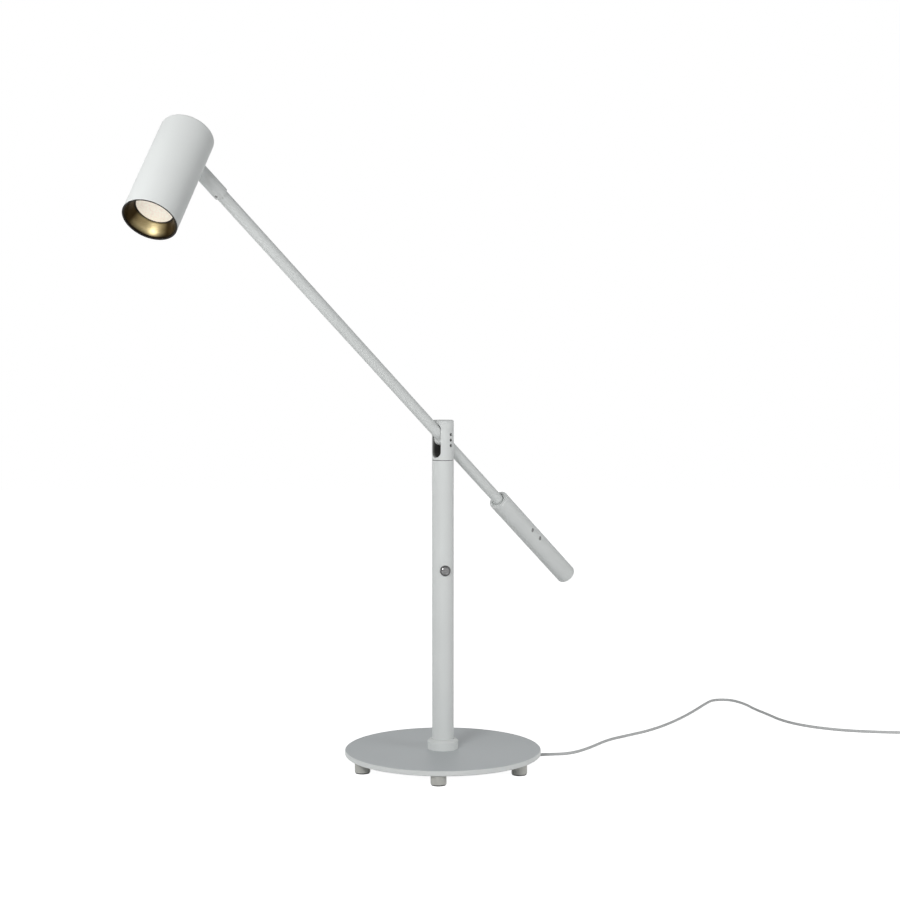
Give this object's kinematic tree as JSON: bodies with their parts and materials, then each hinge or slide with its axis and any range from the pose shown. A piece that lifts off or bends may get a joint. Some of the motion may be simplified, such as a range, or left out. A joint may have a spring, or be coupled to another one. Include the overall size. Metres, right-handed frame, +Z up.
{
  "type": "counterweight balance desk lamp",
  "caption": "Desk lamp with a round base, a tubular post, a swivelling slotted knuckle, a straight arm balanced by a counterweight and a tubular swivelling head.",
  "frame": {"origin": "centre of the base, on the table under the feet", "axes": "+Z up along the post, -Y towards the front of the lamp, +X to the right seen from the front"},
  "size_m": [0.9712, 0.7343, 0.7191],
  "materials": {
    "powder_grey": "satin powder coat, light grey",
    "shade_aluminium": "satin powder coat, warm white",
    "base_grey": "satin grey coat",
    "weight_steel": "turned steel, satin",
    "steel": "zinc plated",
    "dark_screws": "blackened",
    "chrome": "polished",
    "ring_gold": "gold anodised, satin",
    "brass": "satin",
    "foot_plastic": "matt moulded",
    "pad_rubber": "matt",
    "black_plastic": "matt moulded",
    "holder_ceramic": "glazed",
    "lamp_black": "satin moulded",
    "lamp_glow": "frosted, lit",
    "cord_grey": "smooth flexible sheath"
  },
  "bodies": {
    "stand": {"base_plate": "base_grey", "feet": "foot_plastic", "foot_screws": "steel", "foot_pads": "pad_rubber", "post_collar": "powder_grey", "post_plug": "steel", "base_nipple": "steel", "base_washer": "steel", "base_nut": "steel", "under_cover": "black_plastic", "cover_screws": "steel", "post_tube": "powder_grey", "switch_bezel": "chrome", "switch_body": "black_plastic", "swivel_bush": "black_plastic", "strain_relief": "cord_grey", "cord_lead": "cord_grey", "cord_tail": "cord_grey", "cord_coil": "cord_grey", "plug_body": "cord_grey", "plug_pins": "chrome"},
    "button": {"push_button": "chrome"},
    "knuckle": {"knuckle": "powder_grey", "swivel_lock_ring": "steel", "cheek_plate": "powder_grey", "cheek_screws": "dark_screws"},
    "arm": {"arm_tube": "powder_grey", "tilt_barrel": "steel", "counterweight": "weight_steel", "weight_screws": "dark_screws"},
    "head": {"shade": "shade_aluminium", "head_sleeve": "powder_grey", "sleeve_screw": "dark_screws", "head_nipple": "steel", "saddle_washer": "steel", "head_nut": "steel", "holder_carrier": "steel", "lampholder": "holder_ceramic", "holder_screws": "steel", "lamp_body": "lamp_black", "lamp_lens": "lamp_glow", "lamp_pins": "brass", "lamp_ring": "ring_gold"}
  },
  "joints": [
    {"name": "knuckle_swivel", "type": "hinge", "parent": "stand", "child": "knuckle", "pos_m": [0, 0, 0.3823], "axis": [0, 0, 1], "range_deg": [-170, 170]},
    {"name": "arm_tilt", "type": "hinge", "parent": "knuckle", "child": "arm", "pos_m": [0, 0, 0.3823], "axis": [-0.7373, 0.6756, 0], "range_deg": [-68, 0.8]},
    {"name": "head_swivel", "type": "hinge", "parent": "arm", "child": "head", "pos_m": [-0.25972, -0.28344, 0.68483], "axis": [-0.5309, -0.5794, 0.6184], "range_deg": [-150, 150]},
    {"name": "button_press", "type": "slide", "parent": "stand", "child": "button", "axis": [-0.225, 0.9744, 0], "range_m": [0, 0.0012], "stiffness_N_per_m": 1200, "springref_m": -0.0004}
  ]
}
